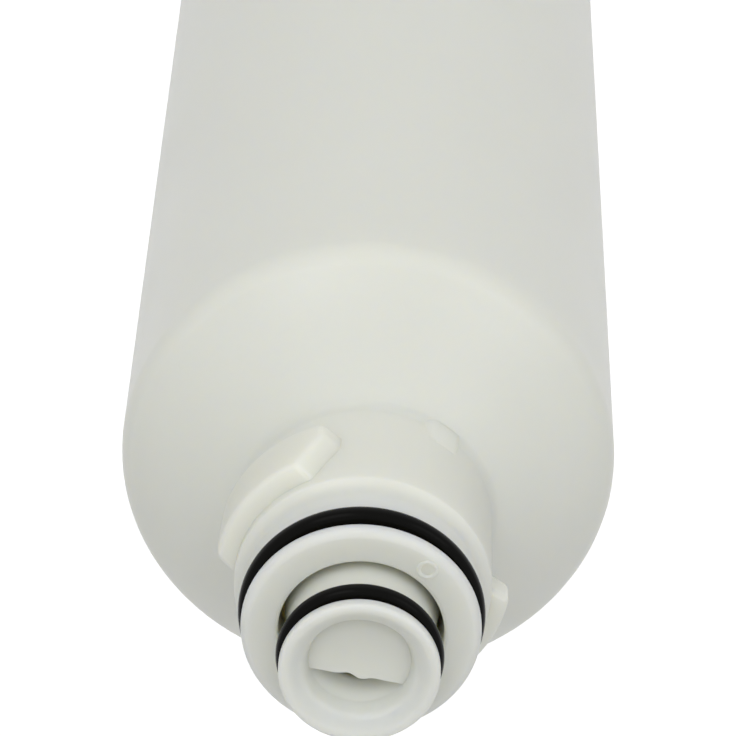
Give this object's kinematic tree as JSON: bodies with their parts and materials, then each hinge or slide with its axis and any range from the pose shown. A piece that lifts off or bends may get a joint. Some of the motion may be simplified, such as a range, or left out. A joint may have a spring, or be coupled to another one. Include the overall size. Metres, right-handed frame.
{
  "type": "fridge water filter cartridge",
  "caption": "White twist-in fridge water filter: a long closed tube with a domed shoulder, a neck with bayonet lugs and a stepped nozzle sealed by black O-rings.",
  "frame": {"origin": "middle of the underside of the base, on the cartridge's axis", "axes": "+Z along the cartridge from the base to the nozzle, -Y towards the side that the picture shows"},
  "size_m": [0.066, 0.066, 0.298],
  "materials": {
    "housing_plastic": "satin moulded off-white polypropylene",
    "element_plastic": "satin moulded off-white polypropylene",
    "carbon": "matt pressed carbon",
    "nonwoven": "soft white nonwoven",
    "ring_rubber": "smooth black rubber, lightly greased"
  },
  "bodies": {
    "root": {"base_cap": "housing_plastic", "housing": "housing_plastic", "element_bottom_cap": "element_plastic", "carbon_block": "carbon", "prefilter_wrap": "nonwoven", "element_top_cap": "element_plastic", "nozzle_o_ring": "ring_rubber", "spout_o_ring": "ring_rubber"}
  },
  "joints": []
}
